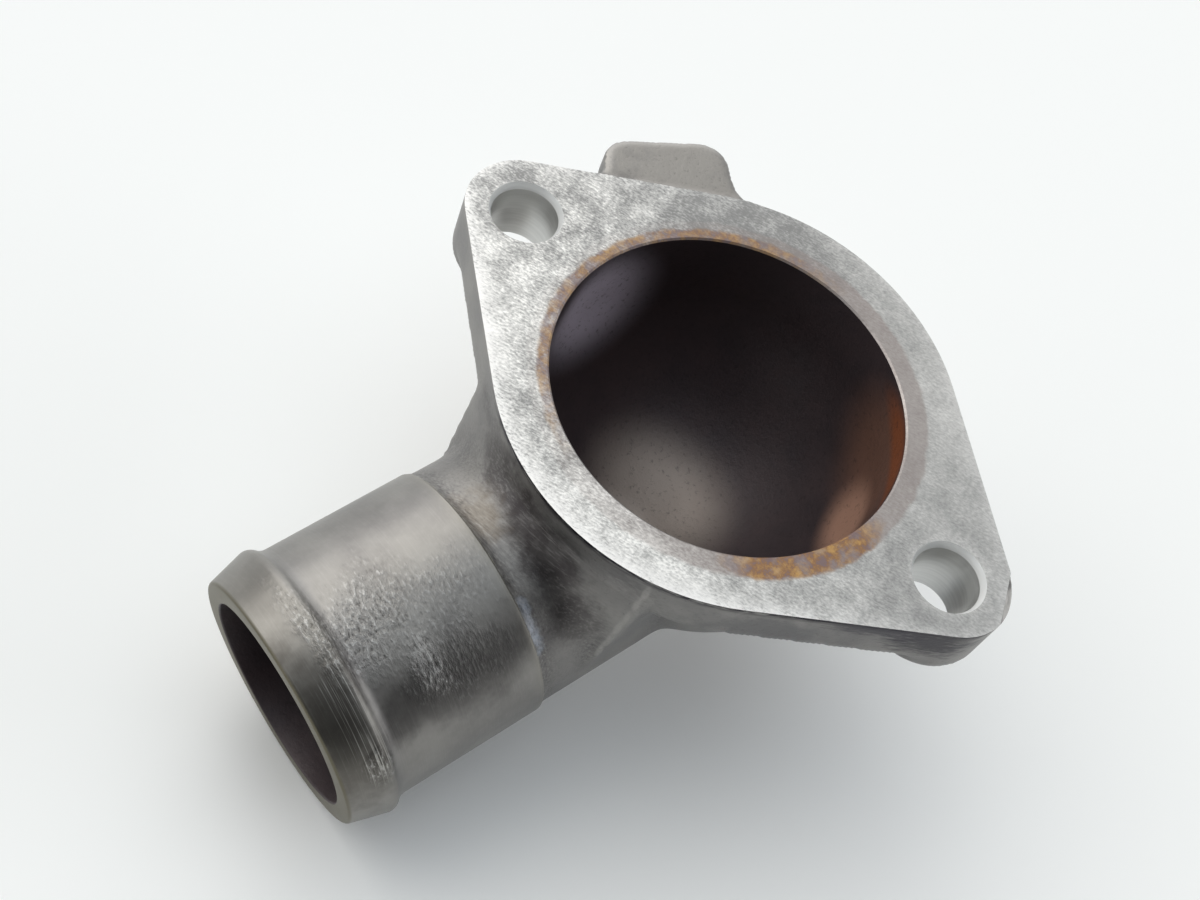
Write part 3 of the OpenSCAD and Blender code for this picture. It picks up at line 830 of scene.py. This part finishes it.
# %% rubbed bead and the seat's surface
MOUTH_START, MOUTH_FULL = end / MM - 0.4, end / MM - 0.1
edge_value = add(tree, "ShaderNodeAttribute", attribute_name="edge").outputs["Fac"]
rubbed_and_sheen = add(tree, MATH, {0: edge_value, 1: 0.8}, operation="MULTIPLY")
colour = layer(tree, colour, linear("#a5a08f"), rubbed_and_sheen.outputs[0])
mouth = add(tree, RANGE, {"Value": part.outputs["Z"], "From Min": MOUTH_START,
                          "From Max": MOUTH_FULL, "To Max": 0.95})
colour = layer(tree, colour, linear("#625d4c"), mouth.outputs["Result"])
tree.links.new(colour, shader.inputs["Base Color"])
shader.inputs["Metallic"].default_value = 0.9
gloss = add(tree, RANGE, {"Value": cloud.outputs["Fac"], "To Min": 0.36, "To Max": 0.48})
tree.links.new(gloss.outputs["Result"], shader.inputs["Roughness"])
height = add(tree, MATH, {0: fleck.outputs["Fac"], 1: pitted}, operation="MULTIPLY")
bump = add(tree, "ShaderNodeBump", {"Height": height.outputs[0], "Strength": 1, "Distance": 0.3 * MM})
tree.links.new(bump.outputs["Normal"], shader.inputs["Normal"])
print(FINISHES[TURNED], len(tree.nodes), "nodes")

# %% [markdown]
# Inside, hot coolant has left a film: nearly black, with a grey crust on the floor of the bowl and rust
# on the wall towards +X. The crust is also painted lighter for the light that falls in from above. A
# mark low on the wall towards +X is a painted highlight, and a pale violet mark on the wall towards -X
# is a painted reflection, where three marks of different sizes make it fade. A film dries without a
# border, so its marks are even and soft. Fine dark pits of grit lie over all of it.

# %% coolant-stained aluminium
FILM, GRIT = 5, 0.7
# Of these marks, the crust on the floor is partly a painted pool of light falling in from above, and the
# mark low on the +X wall is a painted highlight.
FILM_STAINS_AND_PAINTED_LIGHT = [((-2, 1.5, -31), (14, 12, 13), "#958a82", 0.95),
              ((18, 13, -9), (12, 16, 12), "#84604f", 0.7),
              ((19, 11.5, -2.5), (9, 14, 3.2), "#94522c", 0.75),
              ((19.5, 7.5, -15), (7.5, 7.5, 6.5), "#b9907c", 0.95)]
# Three soft marks of different sizes make a painted violet reflection on the wall towards -X.
FILM_STAINS_AND_PAINTED_LIGHT += [((-21.6, 3.2, -9.5), (size, size, size), "#efe6f6", 0.62) for size in (11.5, 9, 6.5)]
tree, shader, mm = open_finish(FINISHES[STAINED])
film = add(tree, NOISE, {"Vector": mm, "Scale": 1 / FILM, "Detail": 5, "Roughness": 0.6})
grit = add(tree, NOISE, {"Vector": mm, "Scale": 1 / GRIT, "Detail": 4, "Roughness": 0.7})
colour = layer(tree, linear("#383438"), linear("#4b3d3e"), film.outputs["Fac"])
colour = marked(tree, mm, colour, EVEN, FILM_STAINS_AND_PAINTED_LIGHT)
pit = add(tree, RANGE, {"Value": grit.outputs["Fac"], "From Min": 0.44, "From Max": 0.3, "To Max": 0.5})
colour = layer(tree, colour, linear("#2c2628"), pit.outputs["Result"])
tree.links.new(colour, shader.inputs["Base Color"])
shader.inputs["Metallic"].default_value = 0.35
gloss = add(tree, RANGE, {"Value": film.outputs["Fac"], "To Min": 0.36, "To Max": 0.6})
tree.links.new(gloss.outputs["Result"], shader.inputs["Roughness"])
bump = add(tree, "ShaderNodeBump", {"Height": grit.outputs["Fac"], "Strength": 0.3,
                                    "Distance": 0.2 * MM})
tree.links.new(bump.outputs["Normal"], shader.inputs["Normal"])
print(FINISHES[STAINED], len(tree.nodes), "nodes")

# %% [markdown]
# A drill leaves fine rings down the hole, a little darker than the milled face. A noise that is squeezed
# along Z gives them without a spiral. The chamfer at the face is painted pale and dull, a painted
# reflection that stands in for the bright light it mirrors, so it scatters light like a pale surface
# more than it mirrors.

# %% drilled aluminium
DRILL_STEP, DRILL_WIDE = 0.35, 6
CHAMFER_FOOT, CHAMFER_SOFT = -chamfer_h / MM, 0.05
tree, shader, mm = open_finish(FINISHES[DRILLED])
rings = add(tree, VECTOR, {0: mm, 1: (1 / DRILL_WIDE, 1 / DRILL_WIDE, 1 / DRILL_STEP)},
            operation="MULTIPLY")
ring = add(tree, NOISE, {"Vector": rings.outputs[0], "Scale": 1, "Detail": 3})
tone = add(tree, RANGE, {"Value": ring.outputs["Fac"], "From Min": 0.35, "From Max": 0.65})
colour = layer(tree, linear("#c9c9c7"), linear("#d2d2d0"), tone.outputs["Result"])
height = add(tree, "ShaderNodeSeparateXYZ", {0: mm}).outputs["Z"]
chamfer = add(tree, RANGE, {"Value": height, "From Min": CHAMFER_FOOT - CHAMFER_SOFT,
                            "From Max": CHAMFER_FOOT + CHAMFER_SOFT}).outputs["Result"]
# The pale chamfer is a painted reflection: it stands in for the light that the chamfer mirrors.
colour = layer(tree, colour, linear("#f0f1f0"), chamfer)
tree.links.new(colour, shader.inputs["Base Color"])
# Less metallic, so that the painted pale tone of the chamfer shows.
rubbed_and_sheen = add(tree, RANGE, {"Value": chamfer, "To Min": 0.9, "To Max": 0.3})
tree.links.new(rubbed_and_sheen.outputs["Result"], shader.inputs["Metallic"])
gloss = add(tree, RANGE, {"Value": ring.outputs["Fac"], "To Min": 0.3, "To Max": 0.45})
tree.links.new(gloss.outputs["Result"], shader.inputs["Roughness"])
bump = add(tree, "ShaderNodeBump", {"Height": ring.outputs["Fac"], "Strength": 0.1,
                                    "Distance": 0.03 * MM})
tree.links.new(bump.outputs["Normal"], shader.inputs["Normal"])
print(FINISHES[DRILLED], len(tree.nodes), "nodes")

# %% [markdown]
# The part lies on a plain matt white table. One flat face is enough for it, since it shows only
# its colour and the part's soft shadow, and without gloss it mirrors nothing. It is drawn far wider
# than a real table, in metres, so that its edge stays out of the picture.

# %% floor
FLOOR_SIZE = 100
FLOOR_GAP = 0.1 * MM
bm = bmesh.new()
bmesh.ops.create_grid(bm, x_segments=1, y_segments=1, size=FLOOR_SIZE / 2)
floor = placed("table_top", bm, Matrix.Translation((0, 0, cad_box[0].z - FLOOR_GAP)))
table = bpy.data.materials.new("matt white table top")
table.use_nodes = True
shader = table.node_tree.nodes["Principled BSDF"]
shader.inputs["Base Color"].default_value = linear("#f6f7f6")
shader.inputs["Roughness"].default_value = 0.7
shader.inputs["Specular IOR Level"].default_value = 0
floor.data.materials.append(table)
print("table top", round(floor.location.z / MM, 1), "mm from the joint face")

# %% [markdown]
# Bare metal shows the room more than its own colour, so the room itself is the light. It has a
# bright ceiling, a window on the left and pale walls behind the part, and the camera's side stays
# dim, which gives the spigot its dark band. Lamps would leave hard spots on the metal, so each
# light is a round patch of the world that fades out from its middle. Directions are in degrees,
# from +X towards +Y and upwards.

# %% room light
ROOM = {"ceiling": (0, 85, 1.17, "#f1f9ff"), "window": (180, 45, 2.2, "#fffdf8"),
        "window behind": (120, 45, 0.5, "#fffdf8"), "wall behind right": (45, 12, 1.65, "#fbfcff"),
        "wall behind": (90, 12, 0.3, "#fbfcff"), "wall behind left": (135, 12, 1.55, "#fbfcff"),
        "wall left": (225, 12, 1.25, "#fbfcff")}
PATCH_EDGE, PATCH_MIDDLE = math.cos(math.radians(40)), math.cos(math.radians(15))
world = bpy.data.worlds.new("room")
bpy.context.scene.world = world
world.use_nodes = True
tree = world.node_tree
way = add(tree, "ShaderNodeTexCoord").outputs["Generated"]
total = (0, 0, 0)
for azimuth, height, strength, tint in ROOM.values():
    middle = Vector((1, 0, 0))
    middle.rotate(Matrix.Rotation(-math.radians(height), 3, "Y"))
    middle.rotate(Matrix.Rotation(math.radians(azimuth), 3, "Z"))
    near = add(tree, VECTOR, {0: way, 1: middle}, operation="DOT_PRODUCT")
    patch = add(tree, RANGE, {"Value": near.outputs["Value"], "From Min": PATCH_EDGE,
                              "From Max": PATCH_MIDDLE, "To Max": strength},
                interpolation_type="SMOOTHSTEP")
    total = add(tree, VECTOR, {0: linear(tint)[:3], 1: patch.outputs["Result"], 2: total},
                operation="MULTIPLY_ADD").outputs[0]
tree.links.new(total, tree.nodes["Background"].inputs["Color"])
bpy.context.scene.view_settings.view_transform = "Standard"
print("room with", len(ROOM), "lights")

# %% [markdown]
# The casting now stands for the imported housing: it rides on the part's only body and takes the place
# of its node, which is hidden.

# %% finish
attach(casting, "root")
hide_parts("housing")
